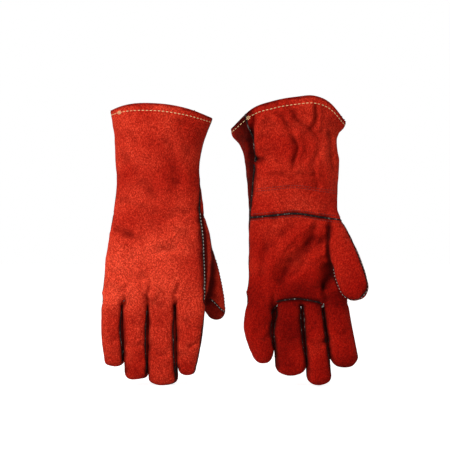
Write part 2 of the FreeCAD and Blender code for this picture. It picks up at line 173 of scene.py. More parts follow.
class Pattern:
    """The flat pattern of one glove: where its fingers stand, its skin as a distance, and how it folds up."""

    def __init__(self, glove):
        self.glove = glove
        widths = {name: glove["fingers"][name][2][0] for name in FINGERS}
        order = FINGERS[::-1]
        total = sum(widths[n][2] - widths[n][1] for n in order) + FINGER_GAP * 3
        x = (widths["little"][1] + widths["index"][2] - total) / 2
        self.slots = {}
        for name in order:
            width = widths[name][2] - widths[name][1]
            self.slots[name] = (x, x + width)
            x += width + FINGER_GAP
        root, tip = (np.array(point, float) for point in glove["thumb"][:2])
        self.thumb_root = root
        self.thumb_length = np.linalg.norm(tip - root)
        self.thumb_along = (tip - root) / self.thumb_length
        across = np.cross((0, 1, 0), self.thumb_along)
        self.thumb_across = across / np.linalg.norm(across)
        self.thumb_palmward = np.cross(self.thumb_along, self.thumb_across)

    def nearest_finger(self, x):
        """The finger, as its place in FINGERS, whose slot each x is in or nearest to."""
        slots = np.array([self.slots[name] for name in FINGERS])
        return np.argmin(np.maximum(slots[:, 0] - x[:, None], x[:, None] - slots[:, 1]), 1)

    def spread(self, z):
        """How far the pattern has left the real outline at height z: 0 above the palm, 1 at the fingers."""
        return smooth((130 - z) / 30)

    def outline(self, z):
        w = self.spread(z)
        left = curve(self.glove["outline"], z, 1) * (1 - w) + self.slots["little"][0] * w
        right = curve(self.glove["outline"], z, 2) * (1 - w) + self.slots["index"][1] * w
        return left, right, curve(self.glove["outline"], z, 3)

    def limb_distance(self, x, p, z):
        left, right, depth = self.outline(z)
        middle, half = (left + right) / 2, (right - left) / 2
        power = 2.2 + 1.0 * smooth((230 - z) / 60)
        r = (np.abs((x - middle) / half) ** power + np.abs(p / depth) ** power) ** (1 / power)
        tube = (r - 1) * depth
        below = CROTCH_Z - 1 - z
        return -soft_min(-tube, -below, 16.0)

    def finger_distance(self, name, x, p, z):
        depth, tip, rows = self.glove["fingers"][name]
        left, right = self.slots[name]
        inside = smooth((z - CROTCH_Z + 3) / 16)
        half = (right - left) / 2 + FINGER_EASE - 7 * inside
        dome = self.glove["tip_dome"] * (right - left) / 2
        depth = depth + 0.4 + 2.4 * smooth((z - 60) / 40) - 5 * inside
        tip_share = np.clip((tip + dome - z) / dome, 0, None)
        r = super_radius((x - (left + right) / 2) / half, p / depth, tip_share, power=self.glove["tip_power"])
        above = z - (CROTCH_Z + 14)
        return np.maximum((r - 1) * depth, above)

    def thumb_coordinates(self, points):
        rel = points - self.thumb_root
        return rel @ self.thumb_across, rel @ self.thumb_palmward, rel @ self.thumb_along

    def thumb_distance(self, x, p, z):
        _, _, widths, deep_root, deep_tip = self.glove["thumb"]
        shape = x.shape
        points = np.stack([x.ravel(), p.ravel(), z.ravel()], 1)
        u, v, t = (c.reshape(shape) for c in self.thumb_coordinates(points))
        share = np.clip(t / self.thumb_length, 0, 1)
        wide = curve(widths, share)
        deep = deep_root + (deep_tip - deep_root) * share
        dome = widths[-1][1] * 0.95
        tip_share = np.clip((t - self.thumb_length + dome) / dome, 0, None)
        root_share = np.clip((10 - t) / 26, 0, None)
        return (super_radius(u / wide, v / deep, tip_share, root_share) - 1) * deep

    def distances(self, x, p, z):
        """Distance to the hand with its fingers, and to the thumb."""
        hand = self.limb_distance(x, p, z)
        fingers = None
        for name in FINGERS:
            d = self.finger_distance(name, x, p, z)
            fingers = d if fingers is None else np.minimum(fingers, d)
        return soft_min(hand, fingers, 5.0), self.thumb_distance(x, p, z)

    def fold(self, points, thumb_share):
        """Pattern points to the glove's real outline."""
        x, p, z = points.T
        closed = np.zeros_like(x)
        keys, values = [], []
        for name in FINGERS[::-1]:
            rows = self.glove["fingers"][name][2]
            keys += list(self.slots[name])
            values += [curve(rows, z, 1), curve(rows, z, 2)]
        values = np.stack(values)
        keys = np.array(keys)
        own = 2 * (len(FINGERS) - 1 - self.nearest_finger(x))
        i = np.clip(np.searchsorted(keys, x) - 1, 0, len(keys) - 2)
        t = (x - keys[i]) / (keys[i + 1] - keys[i])
        at = np.arange(len(x))
        closed = values[i, at] * (1 - t) + values[i + 1, at] * t
        t = (x - keys[own]) / (keys[own + 1] - keys[own])
        single = values[own, at] * (1 - t) + values[own + 1, at] * t
        closed += smooth((CROTCH_Z - 1 - z) / 10) * (single - closed)
        w = self.spread(z) * (1 - thumb_share)
        x = x + w * (closed - x)
        p = p + np.clip(KNUCKLE_Z + 8 - z, 0, None) * CURL * (1 - thumb_share)
        lift = curve(self.glove["hem"], x) - HEM_FLAT
        z = z + lift * smooth((z - 245) / (HEM_FLAT - 245))
        return np.stack([x, p, z], 1)


# ---------------------------------------------------------------- skin

def surface_nets(values, origin, step):
    """A quad mesh of the zero level of a 3-D grid: one vertex in each cell that the surface crosses."""
    inside = values < 0
    nx, ny, nz = values.shape
    cells = (nx - 1, ny - 1, nz - 1)
    total, count = np.zeros(cells + (3,)), np.zeros(cells)
    corners = [(i, j, k) for i in (0, 1) for j in (0, 1) for k in (0, 1)]

    def corner(grid, c):
        return grid[c[0]:nx - 1 + c[0], c[1]:ny - 1 + c[1], c[2]:nz - 1 + c[2]]

    for a in corners:
        for axis in range(3):
            if a[axis]:
                continue
            b = list(a)
            b[axis] = 1
            va, vb = corner(values, a), corner(values, b)
            cross = corner(inside, a) != corner(inside, b)
            t = np.where(cross, va / np.where(va == vb, 1, va - vb), 0)
            for k in range(3):
                total[..., k] += np.where(cross, a[k] + (t if k == axis else 0), 0)
            count += cross
    used = count > 0
    index = np.full(cells, -1)
    index[used] = np.arange(used.sum())
    where = np.argwhere(used)
    verts = (where + total[used] / count[used][:, None]) * step + origin
    faces = []
    for axis in range(3):
        b, c = [k for k in range(3) if k != axis]
        low = [slice(1, n - 1) for n in values.shape]
        low[axis] = slice(0, values.shape[axis] - 1)
        high = list(low)
        high[axis] = slice(1, values.shape[axis])
        start, end = inside[tuple(low)], inside[tuple(high)]
        for rising in (True, False):
            at = np.argwhere(start & ~end if rising else ~start & end)
            at[:, b] += 1
            at[:, c] += 1
            quad = []
            for db, dc in ((0, 0), (-1, 0), (-1, -1), (0, -1)):
                cell = at.copy()
                cell[:, b] += db
                cell[:, c] += dc
                quad.append(index[tuple(cell.T)])
            quad = np.stack(quad, 1)
            flip = rising if axis != 1 else not rising
            faces.append(quad[:, ::-1] if not flip else quad)
    return verts, np.concatenate(faces)


def relax(verts, faces, rounds, share=0.5, hold=None):
    """Evens the mesh out by moving each vertex towards its neighbours."""
    pairs = np.concatenate([faces[:, [0, 1]], faces[:, [1, 2]], faces[:, [2, 3]], faces[:, [3, 0]]])
    pairs = np.concatenate([pairs, pairs[:, ::-1]])
    count = np.bincount(pairs[:, 0], minlength=len(verts))[:, None]
    for _ in range(rounds):
        total = np.zeros_like(verts)
        for k in range(3):
            total[:, k] = np.bincount(pairs[:, 0], verts[pairs[:, 1], k], len(verts))
        moved = verts + (total / np.maximum(count, 1) - verts) * share
        if hold is not None:
            moved[hold] = verts[hold]
        verts = moved
    return verts


def vertex_normals(verts, faces):
    a, b, c, d = (verts[faces[:, k]] for k in range(4))
    normal = np.cross(c - a, d - b)
    total = np.zeros_like(verts)
    for corner in range(4):
        for k in range(3):
            total[:, k] += np.bincount(faces[:, corner], normal[:, k], len(verts))
    return total / np.maximum(np.linalg.norm(total, axis=1), 1e-9)[:, None]


# Folds pressed into the leather, per glove and face: (depth, width, points as (x, z)). A negative depth is a bulge.
FOLDS = {
    ("left", "palm"): (
        (2.0, 3.4, ((-30, 336), (-17, 330), (-3, 312), (1, 292), (-6, 262))),
        (1.6, 3.2, ((-14, 340), (6, 326), (28, 304))),
        (1.7, 3.0, ((22, 350), (23, 334), (21, 314))),
        (-1.3, 7, ((-42, 334), (-46, 308), (-44, 288))),
        (2.2, 3.6, ((-50, 336), (-52, 318), (-54, 300), (-50, 282), (-40, 274))),
        (1.0, 3.2, ((-40, 262), (-10, 256), (24, 262))),
        (0.9, 3.4, ((30, 296), (20, 270), (24, 240))),
        (1.1, 3.2, ((44, 318), (40, 296), (46, 262))),
        (1.7, 9, ((38, 192), (14, 170), (-8, 148), (-24, 118))),
        (0.8, 3.0, ((36, 172), (12, 154), (-10, 128))),
        (0.7, 3.0, ((30, 198), (2, 180), (-22, 156))),
        (-1.4, 8, ((16, 196), (-12, 172), (-36, 142))),
        (3.6, 8, ((38, 152), (40, 134), (36, 116))),
        (0.8, 5, ((-44, 196), (-38, 165), (-44, 128))),
        (1.1, 3.4, ((28, 206), (22, 186), (6, 172))),
        (1.0, 3.4, ((46, 206), (40, 190), (30, 176))),
        (1.3, 3.4, ((-26, 116), (-28, 98), (-26, 84))),
        (1.1, 3.2, ((34, 128), (38, 108), (40, 96))),
        (0.9, 3.2, ((-56, 66), (-40, 60), (-32, 64))),
        (0.8, 3.2, ((-22, 60), (-8, 54), (4, 58))),
        (0.8, 3.2, ((16, 56), (26, 50), (38, 58))),
        (0.8, 3.2, ((46, 70), (56, 62), (68, 68))),
    ),
    ("left", "back"): (
        (1.6, 6, ((-30, 300), (0, 262), (30, 240))),
        (1.2, 5, ((-40, 250), (-10, 228), (36, 226))),
        (1.2, 6, ((40, 180), (10, 150), (-20, 140))),
        (1.1, 3.6, ((-10, 128), (-8, 112), (-7, 100))),
        (1.1, 3.6, ((20, 128), (24, 112), (26, 100))),
        (1.1, 3.6, ((-36, 128), (-36, 112), (-36, 100))),
    ),
    ("right", "back"): (
        (1.5, 5, ((-52, 196), (-40, 184), (-28, 180))),
        (0.8, 7, ((-38, 292), (-28, 262), (-8, 240), (4, 222))),
        (0.7, 6, ((14, 310), (24, 272), (30, 236))),
        (-0.9, 8, ((-12, 290), (4, 262), (14, 236))),
        (0.9, 5, ((-46, 232), (-20, 216), (20, 210), (56, 218))),
        (0.9, 5, ((44, 190), (20, 170), (-8, 162))),
        (1.4, 3.2, ((-36, 126), (-40, 112), (-41, 99))),
        (1.0, 3.2, ((-46, 118), (-42, 108), (-41, 99))),
        (1.5, 3.2, ((-4, 128), (-9, 112), (-10, 99))),
        (1.2, 3.2, ((-18, 122), (-12, 110), (-10, 99))),
        (1.3, 3.2, ((28, 126), (25, 112), (24, 99))),
        (0.8, 3.2, ((-66, 58), (-54, 52), (-44, 58))),
        (0.8, 3.2, ((-38, 52), (-26, 46), (-14, 50))),
        (0.8, 3.2, ((-6, 44), (6, 38), (20, 44))),
        (0.8, 3.2, ((30, 52), (40, 46), (52, 54))),
    ),
    ("right", "palm"): (
        (2.4, 7, ((30, 186), (6, 160), (-22, 138))),
        (1.6, 5, ((-44, 180), (-30, 150), (-34, 122))),
        (1.5, 5, ((-30, 300), (-4, 270), (26, 250))),
        (1.2, 5, ((40, 310), (24, 280), (30, 240))),
        (1.0, 4, ((-10, 140), (-8, 112))),
    ),
}
FOLD_DEPTH = 2.1
SEAM_VALLEY = 1.2
SEAM_WIDTH = 2.6


def distance_to_stroke(x, z, points):
    """Distance of each (x, z) to a line through points, and how far along it, 0 to 1."""
    best, along = np.full(len(x), 1e9), np.zeros(len(x))
    lengths = [math.dist(a, b) for a, b in zip(points, points[1:])]
    done = 0.0
    for a, b, length in zip(points, points[1:], lengths):
        dx, dz = (b[0] - a[0]) / length, (b[1] - a[1]) / length
        t = np.clip((x - a[0]) * dx + (z - a[1]) * dz, 0, length)
        d = np.hypot(x - a[0] - dx * t, z - a[1] - dz * t)
        nearer = d < best
        best = np.where(nearer, d, best)
        along = np.where(nearer, (done + t) / sum(lengths), along)
        done += length
    return best, along


class Skin:
    """One glove's outer skin: vertices, quads, normals, and what each vertex is near."""

    def __init__(self, name):
        glove = GLOVES[name]
        self.name, self.glove, self.pattern = name, glove, Pattern(glove)
        pattern = self.pattern
        low = np.array([pattern.slots["little"][0] - 26, -46, -8.0])
        high = np.array([pattern.slots["index"][1] + 40, 64, HEM_FLAT + 0.01])
        axes = [np.arange(a, b, GRID) for a, b in zip(low, high)]
        axes[2] = HEM_FLAT - GRID * np.arange(int((HEM_FLAT - low[2]) / GRID), -1, -1)
        grid = np.meshgrid(*axes, indexing="ij")
        hand, thumb = pattern.distances(*grid)
        origin = np.array([axis[0] for axis in axes])
        flat, self.faces = surface_nets(soft_min(hand, thumb, 7.0), origin, GRID)
        top = flat[:, 2] > HEM_FLAT - GRID
        flat[top, 2] = HEM_FLAT
        flat = relax(flat, self.faces, 5, hold=top)
        self.flat = flat
        self.read_pattern()
        verts = pattern.fold(flat, smooth(0.5 + self.thumb_side / 12))
        verts = relax(verts, self.faces, 3, hold=top)
        self.top = top
        self.verts = verts
        self.press_folds()
        self.verts = relax(self.verts, self.faces, 1, 0.3, hold=top)
        self.settle_fingers()
        self.normals = vertex_normals(self.verts, self.faces)

    def read_pattern(self):
        """The seams, as signed distances in mm, and the digit each vertex belongs to."""
        x, p, z = self.flat.T
        pattern, glove = self.pattern, self.glove
        hand, thumb = pattern.distances(x, p, z)
        self.thumb_side = hand - thumb
        self.u, self.v, self.t = pattern.thumb_coordinates(self.flat)
        inner, outer, tip = glove["thumb_lean"]
        share = self.t / pattern.thumb_length
        self.thumb_seam = (self.v - inner * smooth(self.u / 8) - outer * smooth(-self.u / 6)
                           - tip * smooth((share + THUMB_SLANT * self.u - 0.71) / 0.14))
        left, right, _ = pattern.outline(z)
        self.around = np.arctan2(p, x - (left + right) / 2)
        little_side = x < (left + right) / 2
        self.seam = p - np.where(little_side, curve(glove["seam"], z), curve(glove["index_seam"], z))
        middles = np.array([sum(pattern.slots[n]) / 2 for n in FINGERS])
        self.finger = pattern.nearest_finger(x)
        self.across = x - middles[self.finger]
        widths = np.array([pattern.slots[n][1] - pattern.slots[n][0] for n in FINGERS])
        self.half_width = widths[self.finger] / 2
        tips = np.array([glove["fingers"][n][1] for n in FINGERS])[self.finger]
        outer = ((self.finger == 0) & (self.across > 0)) | ((self.finger == 3) & (self.across < 0))
        self.wall = np.where(outer, 0, FOURCHETTE * smooth((z - tips - 7) / 34))
        self.turned = p + glove["twist"] * self.across / 15 * smooth((100 - z) / 30)
        self.tip_angle = np.arctan2(self.across, tips + 14 - z)
        self.wrist = z - curve(glove["wrist_seam"], x)
        ring, middle = pattern.slots["ring"], pattern.slots["middle"]
        self.finger_seam = z - curve(PALM_SEAM, (x - ring[0]) / (middle[1] - ring[0]))

    def press_folds(self):
        """Seam valleys, folds and the leather's own unevenness, pressed in along the normals, with the painted shade
        and the tone with painted light that the leather's colour reads.
        """
        x, p, z = self.flat.T
        normals = vertex_normals(self.verts, self.faces)
        is_thumb = smooth(0.5 + self.thumb_side / 6)
        is_finger = smooth((CROTCH_Z + 4 - z) / 6) * (1 - is_thumb)
        is_limb = (1 - is_finger) * (1 - is_thumb)

        def valley(distance, width=SEAM_WIDTH):
            return np.exp(-(distance / width) ** 2)

        palm_side = smooth(self.seam / 3)
        sewn = (valley(self.seam) * is_limb * SEAM_VALLEY
                + valley(self.wrist) * is_limb * palm_side * 1.3
                + valley(np.abs(self.turned) - self.wall) * is_finger * 0.8
                + valley(self.thumb_seam) * is_thumb * smooth((self.t - 20) / 10) * SEAM_VALLEY)
        ring, middle = self.pattern.slots["ring"], self.pattern.slots["middle"]
        in_span = smooth((x - ring[0]) / 3) * smooth((middle[1] - x) / 3)
        sewn += valley(self.finger_seam) * in_span * palm_side * (1 - is_thumb) * 1.2
        crease = valley(self.thumb_side, 3.2) * smooth((CROTCH_Z + 108 - z) / 16)
        side = {"palm": smooth(normals[:, 1] * 3), "back": smooth(-normals[:, 1] * 3)}
        pressed = np.zeros(len(x))
        cx, _, cz = self.verts.T
        wobble = np.array([[noise.noise(Vector(v) / 15 + Vector((k, 0, 0))) for k in (0, 40)] for v in self.verts])
        cx, cz = cx + 4.5 * wobble[:, 0], cz + 4.5 * wobble[:, 1]
        for (name, face), folds in FOLDS.items():
            if name != self.name:
                continue
            for depth, width, points in folds:
                depth *= FOLD_DEPTH
                distance, along = distance_to_stroke(cx, cz, points)
                ends = smooth(along * 5 + 0.25) * smooth((1 - along) * 5 + 0.25)
                groove = valley(distance, width) - 0.55 * valley(distance - 1.9 * width, width)
                pressed += depth * groove * ends * side[face] * (1 - 0.8 * is_thumb)
        wave = np.array([noise.noise(Vector(v) / 34 + Vector((7, 3, 1)) * (self.glove["palm"] + 3)) for v in self.verts])
        ripple = np.array([noise.noise(Vector(v) / 11) for v in self.verts])
        grain = np.array([noise.noise(Vector(v) / 4.2) for v in self.verts])
        puff = 1 - np.exp(-((np.minimum(np.abs(self.seam), 30)) / 9) ** 2)
        move = (-sewn - 2.0 * crease - pressed + 1.3 * wave + 0.6 * ripple + 0.16 * grain + 0.6 * puff * is_limb)
        fade = smooth((HEM_FLAT - z) / 12) * 0.7 + 0.3
        self.verts = self.verts + normals * (move * fade)[:, None]
        # Painted shade for the leather's colour: darker in the seam valleys, the thumb's crease, the pressed folds and
        # the ripples' hollows (paler on the ripples' tops), in a band along the hem's top edge, in the pockets below,
        # and where the fingers meet.
        hem = 0.5 * smooth((z - HEM_FLAT + 4) / 3)
        # Painted shade in pockets: the back panel beside the side seams on the left glove's cuff, a narrow strip of
        # palm beside the right glove's index-side seam, and the right thumb just past its seam near the tip.
        if self.name == "left":
            pocket_shade = valley(self.seam, 22) * smooth(-self.seam) * smooth((z - 190) / 20)
        else:
            pocket_shade = valley(self.seam - 1.5, 2.6) * smooth(self.seam) * smooth(x / 9) * smooth((222 - z) / 20)
            tip_side = smooth(self.thumb_seam / 2) * smooth((3 - self.v) / 4) * smooth((self.t - 66) / 12)
            pocket_shade = np.maximum(pocket_shade * (1 - is_thumb), 0.6 * tip_side * is_thumb)
        # Painted shade where neighbouring fingers meet.
        between = valley(np.abs(self.across) - self.half_width, 3.2) * is_finger * (self.wall > 0)
        self.painted_shade = np.clip(0.75 * sewn + 1.1 * crease + 0.1 * np.maximum(pressed, 0) - 0.3 * ripple
                              + hem + 0.95 * pocket_shade + 0.55 * between, 0, 1)
        # The leather's tone with painted light and shade: paler where the large wave pushes the leather out, with
        # tone() on top.
        self.tone_and_light = np.clip(0.24 * wave + self.tone(side), 0, 1)

    def tone(self, side):
        """How pale each place looks, 0 to 1: the two gloves' hides differ a little, and painted shade and painted light
        are laid on top.
        """
        x, _, z = self.flat.T
        if self.name == "left":
            # Painted shade: the left glove darker below its wrist, and its palm darker still towards the fingers.
            palm_shade = 0.34 * smooth((156 - z) / 50) - 0.09 * smooth((102 - z) / 12)
            return 0.52 - 0.1 * smooth((205 - z) / 30) - palm_shade * side["palm"]
        # Painted light: the right glove's back paler between its wrist and knuckles, most towards its little-finger
        # side.
        lit = smooth((215 - z) / 60) - 0.9 * smooth((112 - z) / 40)
        return 0.6 + (0.36 - 0.22 * smooth((x - 5) / 55)) * lit * side["back"]

    def settle_fingers(self):
        """Brings the inner sides of the fingers to their outlines, so that neighbours touch and don't cross."""
        x, _, z = self.verts.T
        for i, name in enumerate(FINGERS):
            rows = self.glove["fingers"][name][2]
            mine = (self.finger == i) & (self.flat[:, 2] < CROTCH_Z + 4) & (self.thumb_side < 0)
            middle = (curve(rows, z, 1) + curve(rows, z, 2)) / 2
            heights = np.arange(self.glove["fingers"][name][1] + 18, CROTCH_Z - 4, 3.0)
            lean = STAGGER * np.clip(self.flat[:, 1] / 5, -1, 1)
            for side, other in ((-1, i + 1), (1, i - 1)):
                own_column, other_column = (1, 2) if side < 0 else (2, 1)
                edge = curve(rows, z, own_column)
                if 0 <= other < len(FINGERS):
                    across = curve(self.glove["fingers"][FINGERS[other]][2], z, other_column)
                    touching = np.abs(edge - across) < TOUCHING
                    edge = np.where(touching, (edge + across) / 2 + lean, edge) - side * SKIN_GAP / 2
                reach = side * (x - middle)
                widest = [reach[mine & (np.abs(z - height) < 2.5)].max(initial=1.0) for height in heights]
                stretch = np.clip(side * (edge - middle) / np.interp(z, heights, widest), 0.8, 1.2)
                stretch = 1 + (stretch - 1) * smooth((CROTCH_Z + 4 - z) / 6)
                settled = middle + side * np.minimum(reach * stretch, side * (edge - middle))
                settled = np.where(z > CROTCH_Z - 6, middle + side * reach * stretch, settled)
                x = np.where(mine & (reach > 0), settled, x)
        self.verts = np.stack([x, self.verts[:, 1], self.verts[:, 2]], 1)

    def at_faces(self, values):
        return values[self.faces].mean(axis=1)

    def labels(self):
        """The panel each quad belongs to."""
        z = self.at_faces(self.flat[:, 2])
        p = self.at_faces(self.turned)
        panel = np.where(self.at_faces(self.seam) < 0, "back",
                         np.where(self.at_faces(self.wrist) > 0, "cuff_front", "palm")).astype("<U24")
        finger = self.finger[self.faces[:, 0]]
        wall = self.at_faces(self.wall)
        for i, name in enumerate(FINGERS):
            mine = (finger == i) & (z < CROTCH_Z + 1)
            part = np.where(p < -wall, name + "_back", np.where(p > wall, name + "_front", name + "_fourchettes"))
            panel = np.where(mine, part, panel)
        thumb = (self.at_faces(self.thumb_side) > 0) & (self.at_faces(self.wrist) < -1)
        part = np.where(self.at_faces(self.thumb_seam) < 0, "thumb_back", "thumb_front")
        part = np.where(self.at_faces(self.t) < self.pattern.thumb_length * THUMB_CUT, "thumb_wing", part)
        return np.where(thumb, part, panel)

    def chain(self, field, keep, along):
        """The line where field is zero, as ordered points and normals, over the vertices that keep marks."""
        pairs = np.concatenate([self.faces[:, [0, 1]], self.faces[:, [1, 2]],
                                self.faces[:, [2, 3]], self.faces[:, [3, 0]]])
        pairs = np.unique(np.sort(pairs, axis=1), axis=0)
        a, b = pairs.T
        hit = (field[a] * field[b] < 0) & keep[a] & keep[b] & (np.abs(along[a] - along[b]) < 60)
        a, b = a[hit], b[hit]
        t = (field[a] / (field[a] - field[b]))[:, None]
        points = self.verts[a] * (1 - t) + self.verts[b] * t
        normals = self.normals[a] * (1 - t) + self.normals[b] * t
        order = np.argsort(along[a] * (1 - t[:, 0]) + along[b] * t[:, 0])
        return even_out(points[order], normals[order])



def even_out(points, normals, step=1.6, rounds=6):
    """Evenly spaced points along a rough chain, smoothed."""
    if len(points) < 3:
        return points[:0], normals[:0]
    for _ in range(rounds):
        for values in (points, normals):
            values[1:-1] = values[1:-1] * 0.5 + (values[:-2] + values[2:]) * 0.25
    gaps = np.linalg.norm(np.diff(points, axis=0), axis=1)
    reach = np.concatenate([[0], np.cumsum(gaps)])
    count = max(int(reach[-1] / step), 2)
    at = np.linspace(0, reach[-1], count)
    points = np.stack([np.interp(at, reach, points[:, k]) for k in range(3)], 1)
    normals = np.stack([np.interp(at, reach, normals[:, k]) for k in range(3)], 1)
    for _ in range(3):
        points[1:-1] = points[1:-1] * 0.5 + (points[:-2] + points[2:]) * 0.25
    normals /= np.maximum(np.linalg.norm(normals, axis=1), 1e-9)[:, None]
    return points, normals


# ---------------------------------------------------------------- materials

SUEDE_DARK = (0.37, 0.0075, 0.0030)
SUEDE_MIDDLE = (0.44, 0.0102, 0.0040)
SUEDE_LIGHT = (0.52, 0.0150, 0.0062)


def new_material(name):
    material = bpy.data.materials.new(name)
    material.use_nodes = True
    tree = material.node_tree
    return material, tree, tree.nodes["Principled BSDF"]


def node(tree, kind, **settings):
    made = tree.nodes.new(kind)
    for key, value in settings.items():
        if key in made.inputs:
            made.inputs[key].default_value = value
        else:
            setattr(made, key, value)
    return made


def attribute(tree, name, output):
    return node(tree, "ShaderNodeAttribute", attribute_name=name).outputs[output]


def speckle(tree, place, scale, detail=4.0, roughness=0.6, stretch=(1, 1, 1)):
    """A noise value over the leather, scale in spots per metre."""
    mapping = node(tree, "ShaderNodeMapping", Scale=stretch)
    texture = node(tree, "ShaderNodeTexNoise", Scale=scale, Detail=detail, Roughness=roughness)
    tree.links.new(place, mapping.inputs["Vector"])
    tree.links.new(mapping.outputs["Vector"], texture.inputs["Vector"])
    return texture.outputs["Fac"]


def ramp(tree, value, stops):
    made = node(tree, "ShaderNodeValToRGB")
    elements = made.color_ramp.elements
    while len(elements) < len(stops):
        elements.new(0.5)
    for element, (position, colour) in zip(elements, stops):
        element.position = position
        element.color = (*colour, 1) if len(colour) == 3 else colour
    tree.links.new(value, made.inputs["Fac"])
    return made.outputs["Color"]


def mix(tree, share, a, b, kind="MIX"):
    made = node(tree, "ShaderNodeMix", data_type="RGBA", blend_type=kind)
    for socket, value in ((made.inputs[0], share), (made.inputs[6], a), (made.inputs[7], b)):
        if isinstance(value, bpy.types.NodeSocket):
            tree.links.new(value, socket)
        else:
            socket.default_value = value if isinstance(value, float) else (*value, 1)
    return made.outputs[2]


def maths(tree, operation, a, b=0.0):
    made = node(tree, "ShaderNodeMath", operation=operation)
    for socket, value in zip(made.inputs, (a, b)):
        if isinstance(value, bpy.types.NodeSocket):
            tree.links.new(value, socket)
        else:
            socket.default_value = value
    return made.outputs[0]


def bump(tree, shader, layers):
    """Stacks (height socket, depth in metres) layers of bump on a shader."""
    normal = None
    for height, depth in layers:
        made = node(tree, "ShaderNodeBump", Strength=1.0, Distance=depth)
        tree.links.new(height, made.inputs["Height"])
        if normal is not None:
            tree.links.new(normal, made.inputs["Normal"])
        normal = made.outputs["Normal"]
    tree.links.new(normal, shader.inputs["Normal"])


def suede_material():
    """Red split leather: a short uneven nap with pale fibre ends and brushed patches, with painted light and shade laid
    on by place, and painted shade in its folds, seams and between the fingers.
    """
    material, tree, shader = new_material("red_split_leather")
    place = attribute(tree, "rest", "Vector")
    painted_shade = attribute(tree, "painted_shade", "Fac")
    tone_and_light = attribute(tree, "tone_and_light", "Fac")
    nap = speckle(tree, place, 1100, 5, 0.8)
    fibres = speckle(tree, place, 640, 6, 0.8, (1, 1, 0.75))
    brushed = speckle(tree, place, 60, 6, 0.7)
    patches = speckle(tree, place, 14, 4, 0.55)
    base = ramp(tree, patches, ((0.3, SUEDE_DARK), (0.5, SUEDE_MIDDLE), (0.72, SUEDE_LIGHT)))
    streaks = ramp(tree, brushed, ((0.34, (0.8, 0.72, 0.72)), (0.5, (1, 1, 1)), (0.68, (1.14, 1.3, 1.3))))
    colour = mix(tree, 0.42, base, streaks, "MULTIPLY")
    # Painted light and shade: low tone values darken the leather, and high ones lighten it and pale its red.
    tone = ramp(tree, tone_and_light, ((0.0, (0.45, 0.16, 0.16)), (0.25, (0.85, 0.46, 0.42)), (0.5, (1.08, 1.1, 1.05)),
                              (0.85, (1.6, 3.2, 3.3)), (1.0, (1.7, 3.8, 4.0))))
    colour = mix(tree, 1.0, colour, tone, "MULTIPLY")
    specks = ramp(tree, fibres, ((0.38, (0.4, 0.24, 0.24)), (0.5, (1, 1, 1)), (0.6, (1.6, 3.2, 3.4))))
    colour = mix(tree, 0.8, colour, specks, "MULTIPLY")
    fine = ramp(tree, nap, ((0.34, (0.6, 0.5, 0.5)), (0.66, (1.35, 1.7, 1.7))))
    colour = mix(tree, 0.7, colour, fine, "MULTIPLY")
    # Painted shade: the colour darkens towards black in seams, folds, pockets and between the fingers.
    deep = ramp(tree, painted_shade, ((0.05, (1, 1, 1)), (0.5, (0.42, 0.3, 0.3)), (1.0, (0.1, 0.06, 0.07))))
    colour = mix(tree, 1.0, colour, deep, "MULTIPLY")
    tree.links.new(colour, shader.inputs["Base Color"])
    shader.inputs["Roughness"].default_value = 0.92
    shader.inputs["Specular IOR Level"].default_value = 0.04
    shader.inputs["Sheen Weight"].default_value = 0.08
    shader.inputs["Sheen Roughness"].default_value = 0.5
    shader.inputs["Sheen Tint"].default_value = (1.0, 0.14, 0.08, 1)
    bump(tree, shader, ((brushed, 0.0016), (fibres, 0.0020), (nap, 0.0007)))
    return material


def welt_material():
    """Black leather piping, its raised edge scuffed to grey in short flecks."""
    material, tree, shader = new_material("black_welt_leather")
    place = attribute(tree, "rest", "Vector")
    grain = speckle(tree, place, 700, 5, 0.7)
    scuffs = speckle(tree, place, 330, 5, 0.7, (1, 1, 0.6))
    colour = ramp(tree, scuffs, ((0.5, (0.004, 0.003, 0.003)), (0.58, (0.03, 0.018, 0.016)), (0.68, (0.3, 0.25, 0.22))))
    tree.links.new(colour, shader.inputs["Base Color"])
    shader.inputs["Roughness"].default_value = 0.8
    shader.inputs["Specular IOR Level"].default_value = 0.15
    bump(tree, shader, ((grain, 0.0003),))
    return material


def thread_material(name, colour):
    """Spun thread: fine slanting plies."""
    material, tree, shader = new_material(name)
    place = attribute(tree, "rest", "Vector")
    plies = node(tree, "ShaderNodeTexWave", Scale=700.0, Distortion=1.5, bands_direction="DIAGONAL")
    tree.links.new(place, plies.inputs["Vector"])
    dark = tuple(c * 0.72 for c in colour)
    tree.links.new(ramp(tree, plies.outputs["Fac"], ((0.1, dark), (0.7, colour))), shader.inputs["Base Color"])
    shader.inputs["Roughness"].default_value = 0.75
    bump(tree, shader, ((plies.outputs["Fac"], 0.0002),))
    return material


def weave_material(name, colour, threads, fuzz):
    """A woven lining: two crossed sets of threads under a little fuzz."""
    material, tree, shader = new_material(name)
    place = attribute(tree, "rest", "Vector")
    sets = []
    for direction in ("X", "Z"):
        wave = node(tree, "ShaderNodeTexWave", Scale=threads, Distortion=0.6, bands_direction=direction)
        wave.inputs["Detail"].default_value = 2.0
        tree.links.new(place, wave.inputs["Vector"])
        sets.append(wave.outputs["Fac"])
    crossed = maths(tree, "MULTIPLY", *sets)
    pile = speckle(tree, place, 420, 6, 0.75)
    patches = speckle(tree, place, 30, 4, 0.6)
    shade = ramp(tree, patches, ((0.3, tuple(c * 0.78 for c in colour)), (0.7, colour)))
    lines = ramp(tree, crossed, ((0.0, (0.7, 0.7, 0.7)), (0.5, (1, 1, 1))))
    tree.links.new(mix(tree, 1.0 - fuzz, shade, lines, "MULTIPLY"), shader.inputs["Base Color"])
    shader.inputs["Roughness"].default_value = 0.95
    shader.inputs["Sheen Weight"].default_value = 0.3
    bump(tree, shader, ((crossed, 0.0004 * (1 - fuzz)), (pile, 0.0004 + 0.0012 * fuzz)))
    return material


